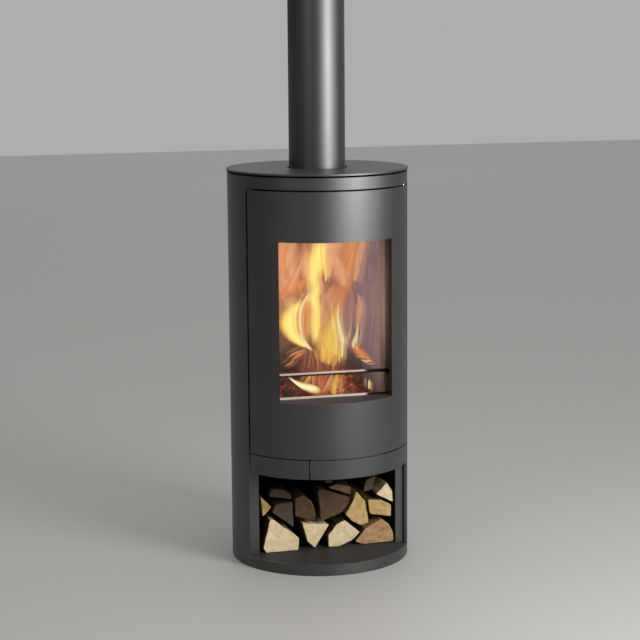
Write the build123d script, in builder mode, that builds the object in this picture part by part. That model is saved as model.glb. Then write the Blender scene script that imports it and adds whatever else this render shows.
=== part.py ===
from build123d import *
import math
import os

# Free-standing round wood burning stove with a curved door, a log store and a flue pipe.
# Millimetres, +Z up. The origin lies on the body's axis at floor level, and the front faces -Y.
# An angle named here is measured around the axis from the front, positive towards +X.

# Driving dimensions of the body
BODY_R = 240.0            # outside radius of the jacket, the door and the band
SHEET = 3.0               # jacket and door sheet
PLINTH_TOP = 30.0         # log store floor
CASING_TOP = 1045.0
SHADOW_GAP = 5.0          # open ring under the top plate, where warm air leaves
TOP_PLATE_T = 5.0
TOP_PLATE_R = 242.0
PIPE_R = 75.0             # 150 mm flue
PIPE_TOP = 1555.0

# Door, band and their gaps
DOOR_EDGE = 63.6          # half angle of the door and of the band
CASING_EDGE_LEFT = 65.2
CASING_EDGE_RIGHT = 65.6
OPENING_TOP = 1014.0      # lower edge of the ring over the door
DOOR_Z0 = 313.0
DOOR_Z1 = 1009.5
BAND_Z0 = 259.5
BAND_Z1 = 310.0
BAND_SHEET = 2.5
SPLIT = -20.45            # joint between the handle panel and the drawer front
SPLIT_GAP = 3.5

# Window
WINDOW_HALF = 151.9
WINDOW_Z0 = 460.0
WINDOW_Z1 = 879.5
JAMB_HALF = 155.0
FRAME_Y = -150.0          # front face of the flat inner door frame
FRAME_T = 3.0
GLASS_T = 4.0
GLASS_LAP = 6.0

# Hinge of the door, on the right
HINGE_X = 208.0
HINGE_Y = -103.2
PIN_R = 3.0
RUNNING = 0.05            # radial clearance of a turning pin

# Chassis
POST_Y = -88.0            # front face of the flat posts beside the log store
POST_INNER = 190.0
LIP_INNER = 213.0         # forward lip of a post, just inside the jacket
LIP_OUTER = 215.4
LIP_DOOR_Y = -92.0        # front of the lip where the open door passes it
LIP_STORE_Y = -98.0       # and beside the log store, where it closes on the jacket edge
STORE_BACK = 130.0
CEILING_Z = 260.0
FIREBOX_HALF = 178.0
FIREBOX_FRONT = -134.0
FIREBOX_BACK = 125.0
FIREBOX_Z0 = 400.0
FIREBOX_Z1 = 1000.0
MOUTH_HALF = 165.5
MOUTH_Z0 = 448.0
MOUTH_Z1 = 891.5
WALL = 4.0
LINING_T = 24.5
LINING_TOP = 880.0
HEARTH_TOP = 436.0
GRATE_Y = -20.0
GRATE_SIDE = 148.0
CHUTE_SIDE = 146.0

# Air control
LEVER_Y = 90.0            # pivot of the air lever, behind the ash chute
LEVER_Z = 252.5
LEVER_TIP_ANGLE = -8.5
AIR_BOX_Z0 = 312.0
INTAKE_R = 40.0           # 80 mm combustion air spigot
INTAKE_Z = 357.0

# Ash drawer
PAN_X0 = -66.0
PAN_X1 = 150.0
PAN_FRONT = -180.0
PAN_BACK = 62.0
PAN_Z0 = 266.5
PAN_Z1 = 304.0

# Handle panel on the door
HANDLE_ANGLE = -37.0
HANDLE_PIVOT_R = 222.0
HANDLE_PIN_R = 2.5

os.makedirs("parts", exist_ok=True)


def polar(radius, angle):
    """Point at an angle from the front, positive towards +X."""
    a = math.radians(angle)
    return (radius * math.sin(a), -radius * math.cos(a))


def save(part, name):
    """Label a finished piece and write it as one STEP file."""
    part.label = name
    export_step(part, f"parts/{name}.step")


def arc_sector(r_in, r_out, start, end, mode=Mode.ADD):
    """Face between two radii and two angles, in the sketch being built."""
    mid = (start + end) / 2
    outer = ThreePointArc(polar(r_out, start), polar(r_out, mid), polar(r_out, end), mode=Mode.PRIVATE)
    inner = ThreePointArc(polar(r_in, end), polar(r_in, mid), polar(r_in, start), mode=Mode.PRIVATE)
    side_end = Line(polar(r_out, end), polar(r_in, end), mode=Mode.PRIVATE)
    side_start = Line(polar(r_in, start), polar(r_out, start), mode=Mode.PRIVATE)
    make_face([outer, side_end, inner, side_start], mode=mode)


def rectangle(x0, y0, x1, y1, mode=Mode.ADD):
    """Rectangle between two corners, in the sketch being built."""
    with Locations(((x0 + x1) / 2, (y0 + y1) / 2)):
        Rectangle(abs(x1 - x0), abs(y1 - y0), mode=mode)


def block(x0, y0, z0, x1, y1, z1, mode=Mode.ADD):
    """Block between two corners, in the part being built."""
    with Locations(((x0 + x1) / 2, (y0 + y1) / 2, (z0 + z1) / 2)):
        Box(abs(x1 - x0), abs(y1 - y0), abs(z1 - z0), mode=mode)


# ---------------------------------------------------------------- plinth
# A base plate and a support ring inside the foot of the jacket carry the log store floor.
with BuildPart() as base_plate:
    with BuildSketch(Plane.XY):
        Circle(BODY_R - SHEET - 4)
    extrude(amount=SHEET)
save(base_plate.part, "base_plate")

with BuildPart() as support_ring:
    with BuildSketch(Plane.XY):
        Circle(BODY_R - SHEET)
        Circle(BODY_R - SHEET - 4, mode=Mode.SUBTRACT)
    extrude(amount=PLINTH_TOP - SHEET)
save(support_ring.part, "support_ring")

with BuildPart() as store_floor:
    with BuildSketch(Plane.XY.offset(PLINTH_TOP - SHEET)):
        Circle(BODY_R - SHEET)
    extrude(amount=SHEET)
save(store_floor.part, "store_floor")

# ---------------------------------------------------------------- jacket
# Rolled sheet from the floor up, with one front opening for the door, the band and the
# log store, and a round hole at the back for the combustion air spigot.
with BuildPart() as casing_shell:
    with BuildSketch(Plane.XY):
        Circle(BODY_R)
        Circle(BODY_R - SHEET, mode=Mode.SUBTRACT)
    extrude(amount=CASING_TOP)
    with BuildSketch(Plane.XY.offset(PLINTH_TOP)):
        arc_sector(BODY_R - 20, BODY_R + 20, -CASING_EDGE_LEFT, CASING_EDGE_RIGHT)
    extrude(amount=OPENING_TOP - PLINTH_TOP, mode=Mode.SUBTRACT)
    with BuildSketch(Plane.XZ.offset(-BODY_R - 20)):
        with Locations((0, INTAKE_Z)):
            Circle(INTAKE_R + 1)
    extrude(amount=60, mode=Mode.SUBTRACT)
save(casing_shell.part, "casing_shell")


def front_post(side, name):
    """Folded post behind one edge of the jacket opening: a flat face and a forward lip."""
    with BuildPart() as post:
        with BuildSketch(Plane.XY.offset(PLINTH_TOP)):
            rectangle(side * POST_INNER, POST_Y, side * LIP_OUTER, POST_Y + SHEET)
            rectangle(side * LIP_INNER, LIP_DOOR_Y, side * LIP_OUTER, POST_Y)
        extrude(amount=OPENING_TOP - 4 - PLINTH_TOP)
        with BuildSketch(Plane.XY.offset(PLINTH_TOP)):
            rectangle(side * LIP_INNER, LIP_STORE_Y, side * LIP_OUTER, LIP_DOOR_Y)
        extrude(amount=BAND_Z0 - 3 - PLINTH_TOP)
    save(post.part, name)


front_post(-1, "front_post_left")
front_post(1, "front_post_right")

# ---------------------------------------------------------------- log store
# One folded sheet makes the two sides and the back.
with BuildPart() as store_liner:
    with BuildSketch(Plane.XY.offset(PLINTH_TOP)):
        rectangle(-POST_INNER - SHEET, POST_Y + SHEET, POST_INNER + SHEET, STORE_BACK + SHEET)
        rectangle(-POST_INNER, POST_Y, POST_INNER, STORE_BACK, mode=Mode.SUBTRACT)
    extrude(amount=CEILING_Z - PLINTH_TOP)
save(store_liner.part, "store_liner")

# The ceiling shields the logs from the ash drawer. Its front follows the band, with a
# recess on the left where fingers reach up behind the handle panel, and a hole for the
# air lever's pin.
with BuildPart() as store_ceiling:
    with BuildSketch(Plane.XY.offset(CEILING_Z)):
        Circle(BODY_R - SHEET - 3)
        rectangle(-POST_INNER + 1, -BODY_R, POST_INNER - 1, STORE_BACK, mode=Mode.INTERSECT)
        arc_sector(185, BODY_R + 20, -75, SPLIT + 3, mode=Mode.SUBTRACT)
        with Locations((0, LEVER_Y)):
            Circle(PIN_R + RUNNING, mode=Mode.SUBTRACT)
    extrude(amount=2)
save(store_ceiling.part, "store_ceiling")

# ---------------------------------------------------------------- top
with BuildPart() as top_frame:
    with BuildSketch(Plane.XY.offset(CASING_TOP - 7)):
        Circle(BODY_R - SHEET)
        Circle(PIPE_R + 15, mode=Mode.SUBTRACT)
        with PolarLocations(165, 12):
            SlotOverall(44, 18, rotation=90, mode=Mode.SUBTRACT)
    extrude(amount=3)
save(top_frame.part, "top_frame")

with BuildPart() as top_spacers:
    with BuildSketch(Plane.XY.offset(CASING_TOP - 4)):
        with PolarLocations(205, 4, start_angle=45):
            Circle(9)
    extrude(amount=SHADOW_GAP + 4)
save(top_spacers.part, "top_spacers")

with BuildPart() as top_plate:
    with BuildSketch(Plane.XY.offset(CASING_TOP + SHADOW_GAP)):
        Circle(TOP_PLATE_R)
        Circle(PIPE_R + 5, mode=Mode.SUBTRACT)
    extrude(amount=TOP_PLATE_T)
    chamfer(top_plate.edges().filter_by(GeomType.CIRCLE).group_by(Axis.Z)[-1], length=0.6)
save(top_plate.part, "top_plate")

COLLAR_R = PIPE_R - 2.5
with BuildPart() as flue_collar:
    with BuildSketch(Plane.XY.offset(FIREBOX_Z1)):
        Circle(COLLAR_R)
        Circle(COLLAR_R - 3, mode=Mode.SUBTRACT)
    extrude(amount=48)
save(flue_collar.part, "flue_collar")

with BuildPart() as flue_pipe:
    with BuildSketch(Plane.XY.offset(FIREBOX_Z1 + 3)):
        Circle(PIPE_R)
        Circle(PIPE_R - 2, mode=Mode.SUBTRACT)
    extrude(amount=PIPE_TOP - FIREBOX_Z1 - 3)
save(flue_pipe.part, "flue_pipe")

# ---------------------------------------------------------------- firebox
# Welded box, open at the front, with holes for the ash chute and the flue.
with BuildPart() as firebox_body:
    block(-FIREBOX_HALF, FIREBOX_FRONT + WALL, FIREBOX_Z0, FIREBOX_HALF, FIREBOX_BACK, FIREBOX_Z1)
    block(-FIREBOX_HALF + WALL, FIREBOX_FRONT - 20, FIREBOX_Z0 + WALL,
          FIREBOX_HALF - WALL, FIREBOX_BACK - WALL, FIREBOX_Z1 - WALL, mode=Mode.SUBTRACT)
    with BuildSketch(Plane.XY.offset(FIREBOX_Z1 - 20)):
        Circle(COLLAR_R - 3)
    extrude(amount=40, mode=Mode.SUBTRACT)
    with BuildSketch(Plane.XY.offset(FIREBOX_Z0 - 10)):
        with Locations((0, GRATE_Y)):
            Rectangle(CHUTE_SIDE + 1, CHUTE_SIDE + 1)
    extrude(amount=30, mode=Mode.SUBTRACT)
save(firebox_body.part, "firebox_body")

# Flat front plate with the mouth that the door seal closes on.
with BuildPart() as firebox_front:
    block(-FIREBOX_HALF, FIREBOX_FRONT, AIR_BOX_Z0, FIREBOX_HALF, FIREBOX_FRONT + WALL, 1008)
    block(-MOUTH_HALF, FIREBOX_FRONT - 5, MOUTH_Z0,
          MOUTH_HALF, FIREBOX_FRONT + WALL + 5, MOUTH_Z1, mode=Mode.SUBTRACT)
save(firebox_front.part, "firebox_front")


def side_lining(side, name):
    """Vermiculite board along one side wall of the firebox."""
    inner = FIREBOX_HALF - WALL - 0.5
    with BuildPart() as board:
        block(side * (inner - LINING_T), -125, HEARTH_TOP + 0.5, side * inner, 95, LINING_TOP)
        chamfer(board.edges().filter_by(Axis.Z), length=1.5)
    save(board.part, name)


side_lining(-1, "lining_left")
side_lining(1, "lining_right")

with BuildPart() as lining_back:
    block(-173, 96, HEARTH_TOP + 0.5, 173, 120.5, LINING_TOP)
    chamfer(lining_back.edges().filter_by(Axis.Z), length=1.5)
save(lining_back.part, "lining_back")

with BuildPart() as hearth_floor:
    block(-173, -129, FIREBOX_Z0 + WALL + 0.5, 173, 120.5, HEARTH_TOP)
    block(-GRATE_SIDE / 2 - 1, GRATE_Y - GRATE_SIDE / 2 - 1, FIREBOX_Z0,
          GRATE_SIDE / 2 + 1, GRATE_Y + GRATE_SIDE / 2 + 1, HEARTH_TOP + 5, mode=Mode.SUBTRACT)
save(hearth_floor.part, "hearth_floor")

with BuildPart() as grate:
    with BuildSketch(Plane.XY.offset(HEARTH_TOP - 10)):
        with Locations((0, GRATE_Y)):
            Rectangle(GRATE_SIDE, GRATE_SIDE)
            with GridLocations(0, 16, 1, 8):
                SlotOverall(116, 7, mode=Mode.SUBTRACT)
    extrude(amount=10)
save(grate.part, "grate")

with BuildPart() as ash_chute:
    with BuildSketch(Plane.XY.offset(AIR_BOX_Z0)):
        with Locations((0, GRATE_Y)):
            Rectangle(CHUTE_SIDE, CHUTE_SIDE)
            Rectangle(CHUTE_SIDE - 4, CHUTE_SIDE - 4, mode=Mode.SUBTRACT)
    extrude(amount=HEARTH_TOP - 10 - AIR_BOX_Z0)
save(ash_chute.part, "ash_chute")

BAFFLE_Z = LINING_TOP + 0.5
with BuildPart() as baffle_plate:
    block(-172, -80, BAFFLE_Z, 172, 120, BAFFLE_Z + LINING_T)
    chamfer(baffle_plate.edges().filter_by(Axis.X), length=1.5)
save(baffle_plate.part, "baffle_plate")

DEFLECTOR_Z = 945.0
with BuildPart() as smoke_deflector:
    block(-172, -126, DEFLECTOR_Z, 172, 70, DEFLECTOR_Z + 3)
    for side in (-1, 1):
        block(side * 169, -78, BAFFLE_Z + LINING_T, side * 172, 70, DEFLECTOR_Z)
save(smoke_deflector.part, "smoke_deflector")

# Folded channel that sends preheated air down the inside of the glass.
with BuildPart() as air_wash_plate:
    block(-172, -129, MOUTH_Z1 + 4, 172, -104, MOUTH_Z1 + 6)
    block(-172, -106, MOUTH_Z1 - 8, 172, -104, MOUTH_Z1 + 4)
save(air_wash_plate.part, "air_wash_plate")

GUARD_TOP = 525.0
with BuildPart() as log_guard:
    block(-MOUTH_HALF + 1.5, FIREBOX_FRONT, GUARD_TOP - 9, MOUTH_HALF - 1.5, FIREBOX_FRONT + 6, GUARD_TOP)
    for side in (-1, 1):
        block(side * (MOUTH_HALF - 1.5), FIREBOX_FRONT + 5, GUARD_TOP - 18,
              side * (MOUTH_HALF - 10), FIREBOX_FRONT + 8.5, GUARD_TOP)
save(log_guard.part, "log_guard")

# ---------------------------------------------------------------- air supply
with BuildPart() as air_box:
    block(-160, FIREBOX_FRONT + WALL, AIR_BOX_Z0, 160, FIREBOX_BACK - WALL, FIREBOX_Z0)
    block(-157, FIREBOX_FRONT + WALL + 3, AIR_BOX_Z0 + 3, 157, FIREBOX_BACK - WALL - 3,
          FIREBOX_Z0 + 5, mode=Mode.SUBTRACT)
    with BuildSketch(Plane.XY.offset(AIR_BOX_Z0 - 5)):
        with Locations((0, GRATE_Y)):
            Rectangle(CHUTE_SIDE + 1, CHUTE_SIDE + 1)
        with Locations((0, LEVER_Y)):
            Circle(PIN_R + RUNNING)
            with PolarLocations(18, 4, start_angle=45):
                Circle(6)
    extrude(amount=20, mode=Mode.SUBTRACT)
    with BuildSketch(Plane.XZ.offset(-FIREBOX_BACK - 10)):
        with Locations((0, INTAKE_Z)):
            Circle(INTAKE_R - 1.5)
    extrude(amount=40, mode=Mode.SUBTRACT)
save(air_box.part, "air_box")

INTAKE_END = 262.0
with BuildPart() as air_intake_spigot:
    with BuildSketch(Plane.XZ.offset(-INTAKE_END)):
        with Locations((0, INTAKE_Z)):
            Circle(INTAKE_R)
            Circle(INTAKE_R - 1.5, mode=Mode.SUBTRACT)
    extrude(amount=INTAKE_END - FIREBOX_BACK + WALL)
save(air_intake_spigot.part, "air_intake_spigot")

# Curved radiation shield between the firebox and the jacket.
with BuildPart() as heat_shield:
    with BuildSketch(Plane.XY.offset(AIR_BOX_Z0)):
        arc_sector(224, 225.5, 75, 285)
    extrude(amount=1020 - AIR_BOX_Z0)
    with BuildSketch(Plane.XZ.offset(-BODY_R)):
        with Locations((0, INTAKE_Z)):
            Circle(INTAKE_R + 1)
    extrude(amount=60, mode=Mode.SUBTRACT)
save(heat_shield.part, "heat_shield")

# ---------------------------------------------------------------- door
with BuildPart() as door_skin:
    with BuildSketch(Plane.XY.offset(DOOR_Z0)):
        arc_sector(BODY_R - SHEET, BODY_R, -DOOR_EDGE, DOOR_EDGE)
        arc_sector(BODY_R - 11, BODY_R - SHEET, -DOOR_EDGE, -DOOR_EDGE + 0.75)
    extrude(amount=DOOR_Z1 - DOOR_Z0)
    with BuildSketch(Plane.XZ.offset(165)):
        with Locations((0, (WINDOW_Z0 + WINDOW_Z1) / 2)):
            RectangleRounded(2 * WINDOW_HALF, WINDOW_Z1 - WINDOW_Z0, 2)
    extrude(amount=100, mode=Mode.SUBTRACT)
save(door_skin.part, "door_skin")

CAP_T = 4.0
TRAY_OUT = (206.0, -112.0)
TRAY_IN = 178.0

# Folded inner tray that carries the glass and the seal.
with BuildPart() as door_frame:
    with BuildSketch(Plane.XY.offset(DOOR_Z0 + CAP_T)):
        with BuildLine():
            Polyline((-TRAY_OUT[0], TRAY_OUT[1]), (-TRAY_IN, FRAME_Y + FRAME_T / 2),
                     (TRAY_IN, FRAME_Y + FRAME_T / 2), TRAY_OUT)
        trace(line_width=FRAME_T)
    extrude(amount=DOOR_Z1 - DOOR_Z0 - 2 * CAP_T)
    block(-JAMB_HALF, FRAME_Y - 5, WINDOW_Z0, JAMB_HALF, FRAME_Y + 10, WINDOW_Z1, mode=Mode.SUBTRACT)
save(door_frame.part, "door_frame")


def door_cap(z, name):
    """Closing plate between skin and tray at one end of the door, bored for the hinge pin."""
    with BuildPart() as cap:
        with BuildSketch(Plane.XY.offset(z)):
            with BuildLine():
                edge = BODY_R - SHEET - 0.1
                left = (-TRAY_OUT[0] - 1, TRAY_OUT[1] + 5)
                right = polar(edge, DOOR_EDGE - 0.6)
                ThreePointArc(polar(edge, -DOOR_EDGE + 2.4), polar(edge, 0), right)
                Polyline(right, (HINGE_X - 5.5, HINGE_Y + 4), (HINGE_X - 8, HINGE_Y - 6),
                         (TRAY_IN, FRAME_Y + FRAME_T), (-TRAY_IN, FRAME_Y + FRAME_T), left,
                         polar(edge, -DOOR_EDGE + 2.4))
            make_face()
            with Locations((HINGE_X, HINGE_Y)):
                Circle(PIN_R + RUNNING, mode=Mode.SUBTRACT)
        extrude(amount=CAP_T)
    save(cap.part, name)


door_cap(DOOR_Z0, "door_cap_bottom")
door_cap(DOOR_Z1 - CAP_T, "door_cap_top")

BUSH_R = 4.4
BUSH_L = 12.0
with BuildPart() as hinge_bushes:
    for z in (DOOR_Z0 + CAP_T, DOOR_Z1 - CAP_T - BUSH_L):
        with BuildSketch(Plane.XY.offset(z)):
            with Locations((HINGE_X, HINGE_Y)):
                Circle(BUSH_R)
                Circle(PIN_R + RUNNING, mode=Mode.SUBTRACT)
        extrude(amount=BUSH_L)
save(hinge_bushes.part, "hinge_bushes")

# Folded sleeve that lines the window between the curved skin and the flat tray.
with BuildPart() as window_surround:
    block(-JAMB_HALF - 2, -BODY_R, WINDOW_Z0 - 2, JAMB_HALF + 2, FRAME_Y, WINDOW_Z1 + 2)
    block(-JAMB_HALF, -BODY_R - 5, WINDOW_Z0, JAMB_HALF, FRAME_Y + 5, WINDOW_Z1, mode=Mode.SUBTRACT)
    with BuildSketch(Plane.XY.offset(WINDOW_Z0 - 5)):
        Circle(BODY_R - SHEET)
    extrude(amount=WINDOW_Z1 - WINDOW_Z0 + 10, mode=Mode.INTERSECT)
save(window_surround.part, "window_surround")

with BuildPart() as glass_strip:
    block(-JAMB_HALF, FRAME_Y - 1, WINDOW_Z0, JAMB_HALF, FRAME_Y + 1.5, WINDOW_Z0 + 5.5)
save(glass_strip.part, "glass_strip")

GLASS_Y = FRAME_Y + FRAME_T + 1.5
GLASS_HALF = JAMB_HALF + GLASS_LAP
GLASS_Z0 = WINDOW_Z0 - GLASS_LAP
GLASS_Z1 = WINDOW_Z1 + GLASS_LAP
with BuildPart() as glass_pane:
    block(-GLASS_HALF, GLASS_Y, GLASS_Z0, GLASS_HALF, GLASS_Y + GLASS_T, GLASS_Z1)
    chamfer(glass_pane.edges().filter_by(Axis.Y), length=1)
save(glass_pane.part, "glass_pane")

with BuildPart() as glass_gasket:
    block(-GLASS_HALF, FRAME_Y + FRAME_T, GLASS_Z0, GLASS_HALF, GLASS_Y, GLASS_Z1)
    block(-JAMB_HALF - 1, FRAME_Y, WINDOW_Z0 - 1, JAMB_HALF + 1, GLASS_Y + 5, WINDOW_Z1 + 1,
          mode=Mode.SUBTRACT)
save(glass_gasket.part, "glass_gasket")

# Corner and middle clips hold the glass; each is a leg on the tray and a finger on the glass.
CLIP_BACK = GLASS_Y + GLASS_T + 1.5
CLIP_HEIGHTS = (500.0, 670.0, 840.0)
with BuildPart() as glass_clips:
    for side in (-1, 1):
        for z in CLIP_HEIGHTS:
            block(side * (GLASS_HALF + 0.5), FRAME_Y + FRAME_T, z - 8,
                  side * (GLASS_HALF + 4), CLIP_BACK, z + 8)
            block(side * (GLASS_HALF - 4), GLASS_Y + GLASS_T, z - 8,
                  side * (GLASS_HALF + 0.5), CLIP_BACK, z + 8)
save(glass_clips.part, "glass_clips")

with BuildPart() as clip_screws:
    for side in (-1, 1):
        for z in CLIP_HEIGHTS:
            with BuildSketch(Plane.XZ.offset(-CLIP_BACK)):
                with Locations((side * (GLASS_HALF + 1.2), z)):
                    Circle(2.6)
            extrude(amount=-1.6)
save(clip_screws.part, "clip_screws")

# Rope seal round the mouth: one closed ring, flat where it is glued to the door and
# rounded where it presses on the firebox front.
SEAL_IN = 167.0
SEAL_W = 10.0
SEAL_BACK = FIREBOX_FRONT - 0.3
with BuildPart() as door_seal:
    block(-SEAL_IN - SEAL_W, FRAME_Y + FRAME_T, MOUTH_Z0 - 1.5 - SEAL_W,
          SEAL_IN + SEAL_W, SEAL_BACK, MOUTH_Z1 + 1.5 + SEAL_W)
    block(-SEAL_IN, FRAME_Y - 5, MOUTH_Z0 - 1.5, SEAL_IN, SEAL_BACK + 5, MOUTH_Z1 + 1.5,
          mode=Mode.SUBTRACT)
    outer_back = door_seal.edges().filter_by(GeomType.LINE).group_by(Axis.Y)[-1]
    fillet(outer_back, radius=3.5)
save(door_seal.part, "door_seal")

# ---------------------------------------------------------------- hinges of the door
BRACKET_TOP_Z = 1013.5
BRACKET_LOW_Z = 304.5
with BuildPart() as hinge_brackets:
    for z in (BRACKET_LOW_Z, BRACKET_TOP_Z):
        with BuildSketch(Plane.XY.offset(z)):
            with BuildLine():
                Polyline((194, POST_Y), (194, -94), (201, HINGE_Y - 5), (HINGE_X - 1, HINGE_Y - 7),
                         (HINGE_X + 2.5, HINGE_Y - 3.8), (212, -97.5), (212, POST_Y), close=True)
            make_face()
            with Locations((HINGE_X, HINGE_Y)):
                Circle(PIN_R, mode=Mode.SUBTRACT)
        extrude(amount=4)
save(hinge_brackets.part, "hinge_brackets")

with BuildPart() as hinge_pins:
    with Locations((HINGE_X, HINGE_Y, BRACKET_LOW_Z)):
        Cylinder(PIN_R, DOOR_Z0 + 15 - BRACKET_LOW_Z, align=(Align.CENTER, Align.CENTER, Align.MIN))
    with Locations((HINGE_X, HINGE_Y, BRACKET_LOW_Z + 4)):
        Cylinder(4.2, DOOR_Z0 - 0.3 - BRACKET_LOW_Z - 4, align=(Align.CENTER, Align.CENTER, Align.MIN))
    with Locations((HINGE_X, HINGE_Y, DOOR_Z1 - 15)):
        Cylinder(PIN_R, BRACKET_TOP_Z + 4 - DOOR_Z1 + 15, align=(Align.CENTER, Align.CENTER, Align.MIN))
save(hinge_pins.part, "hinge_pins")

# ---------------------------------------------------------------- latch
# A roller on the left post meets a striker plate on the door's tray.
ROLLER_X = -193.0
ROLLER_Y = -100.0
ROLLER_Z = 660.0
with BuildPart() as latch_bracket:
    block(ROLLER_X - 7, POST_Y - 3, ROLLER_Z - 30, ROLLER_X + 7, POST_Y, ROLLER_Z + 30)
    for dz in (-14.5, 11.5):
        block(ROLLER_X - 6, ROLLER_Y - 4, ROLLER_Z + dz, ROLLER_X + 6, POST_Y - 3, ROLLER_Z + dz + 3)
    with Locations((ROLLER_X, ROLLER_Y, ROLLER_Z)):
        Cylinder(1.5, 29)
save(latch_bracket.part, "latch_bracket")

with BuildPart() as latch_roller:
    with Locations((ROLLER_X, ROLLER_Y, ROLLER_Z)):
        Cylinder(5, 22)
        Cylinder(1.55, 30, mode=Mode.SUBTRACT)
save(latch_roller.part, "latch_roller")

with BuildPart() as latch_striker:
    block(ROLLER_X - 6, ROLLER_Y - 8.3, ROLLER_Z - 25, ROLLER_X + 6, ROLLER_Y - 5.3, ROLLER_Z + 25)
    block(ROLLER_X - 2, -123.8, ROLLER_Z - 25, ROLLER_X + 1, ROLLER_Y - 8.3, ROLLER_Z + 25)
save(latch_striker.part, "latch_striker")

# ---------------------------------------------------------------- handle
# The left part of the band is the handle: it turns on an upright pin that hangs under the
# door, and its free left edge swings out into the hand.
PIVOT = polar(HANDLE_PIVOT_R, HANDLE_ANGLE)
BAND_IN = BODY_R - BAND_SHEET
HANDLE_END = SPLIT - math.degrees(SPLIT_GAP / 2 / BODY_R)
with BuildPart() as handle_panel:
    with BuildSketch(Plane.XY.offset(BAND_Z0)):
        arc_sector(BAND_IN, BODY_R, -DOOR_EDGE, HANDLE_END)
    extrude(amount=BAND_Z1 - BAND_Z0)
    with BuildSketch(Plane.XY.offset(270)):
        arc_sector(HANDLE_PIVOT_R, BAND_IN, HANDLE_ANGLE - 1.4, HANDLE_ANGLE + 1.4)
        with Locations(PIVOT):
            Circle(6)
            Circle(HANDLE_PIN_R + RUNNING, mode=Mode.SUBTRACT)
    extrude(amount=28)
save(handle_panel.part, "handle_panel")

LUG_LOW = (264.0, 269.7)
LUG_TOP = (298.3, 304.0)
with BuildPart() as handle_bracket:
    with BuildSketch(Plane.XY.offset(LUG_LOW[0])):
        arc_sector(206, 210, HANDLE_ANGLE - 2.5, HANDLE_ANGLE + 2.5)
    extrude(amount=DOOR_Z0 - LUG_LOW[0])
    for low, high in (LUG_LOW, LUG_TOP):
        with BuildSketch(Plane.XY.offset(low)):
            arc_sector(210, HANDLE_PIVOT_R, HANDLE_ANGLE - 1.6, HANDLE_ANGLE + 1.6)
            with Locations(PIVOT):
                Circle(6.2)
                Circle(HANDLE_PIN_R, mode=Mode.SUBTRACT)
        extrude(amount=high - low)
save(handle_bracket.part, "handle_bracket")

with BuildPart() as handle_pin:
    with Locations((PIVOT[0], PIVOT[1], LUG_LOW[0])):
        Cylinder(HANDLE_PIN_R, LUG_TOP[1] - LUG_LOW[0], align=(Align.CENTER, Align.CENTER, Align.MIN))
save(handle_pin.part, "handle_pin")

# ---------------------------------------------------------------- ash drawer
DRAWER_END = SPLIT + math.degrees(SPLIT_GAP / 2 / BODY_R)
with BuildPart() as drawer_front:
    with BuildSketch(Plane.XY.offset(BAND_Z0)):
        arc_sector(BAND_IN, BODY_R, DRAWER_END, DOOR_EDGE)
    extrude(amount=BAND_Z1 - BAND_Z0)
save(drawer_front.part, "drawer_front")

with BuildPart() as ash_pan:
    block(PAN_X0, PAN_FRONT, PAN_Z0, PAN_X1, PAN_BACK, PAN_Z1)
    block(PAN_X0 + 1.5, PAN_FRONT + 1.5, PAN_Z0 + 1.5, PAN_X1 - 1.5, PAN_BACK - 1.5, PAN_Z1 + 5,
          mode=Mode.SUBTRACT)
save(ash_pan.part, "ash_pan")

with BuildPart() as drawer_brackets:
    for x in (-45.0, 110.0):
        block(x - 9, -BODY_R, 274, x + 9, PAN_FRONT, 298)
        block(x - 6, -BODY_R, 270, x + 6, PAN_FRONT - 3, 302, mode=Mode.SUBTRACT)
    with BuildSketch(Plane.XY.offset(270)):
        Circle(BAND_IN)
    extrude(amount=32, mode=Mode.INTERSECT)
save(drawer_brackets.part, "drawer_brackets")

with BuildPart() as drawer_runners:
    for wall, foot in ((PAN_X0 - 3, PAN_X0 + 8), (PAN_X1 + 3, PAN_X1 - 8)):
        side = 1 if foot > wall else -1
        block(wall, -168, CEILING_Z + 2, wall + side * 1.5, PAN_BACK, PAN_Z1)
        block(wall + side * 1.5, -168, CEILING_Z + 2, foot, PAN_BACK, PAN_Z0 - 0.3)
save(drawer_runners.part, "drawer_runners")

# ---------------------------------------------------------------- air lever
LEVER_TIP = polar(BODY_R - 2, LEVER_TIP_ANGLE)
LEVER_LEN = math.hypot(LEVER_TIP[0], LEVER_TIP[1] - LEVER_Y)
LEVER_TURN = math.degrees(math.atan2(LEVER_TIP[1] - LEVER_Y, LEVER_TIP[0]))
with BuildPart() as air_lever:
    with BuildSketch(Plane((0, LEVER_Y, LEVER_Z), x_dir=(LEVER_TIP[0], LEVER_TIP[1] - LEVER_Y, 0),
                           z_dir=(0, 0, 1))):
        rectangle(0, -7, LEVER_LEN - 16, 7)
        rectangle(LEVER_LEN - 20, -9, LEVER_LEN, 9)
        Circle(11)
        Circle(PIN_R, mode=Mode.SUBTRACT)
    extrude(amount=4)
save(air_lever.part, "air_lever")

DAMPER_Z = AIR_BOX_Z0 - 3.5
with BuildPart() as lever_pin:
    with Locations((0, LEVER_Y, LEVER_Z)):
        Cylinder(PIN_R, AIR_BOX_Z0 + 8 - LEVER_Z, align=(Align.CENTER, Align.CENTER, Align.MIN))
save(lever_pin.part, "lever_pin")

with BuildPart() as air_damper:
    with BuildSketch(Plane.XY.offset(DAMPER_Z)):
        with Locations((0, LEVER_Y)):
            Circle(26)
            Circle(PIN_R, mode=Mode.SUBTRACT)
            with PolarLocations(18, 4, start_angle=45):
                Circle(6, mode=Mode.SUBTRACT)
    extrude(amount=3)
save(air_damper.part, "air_damper")

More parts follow.
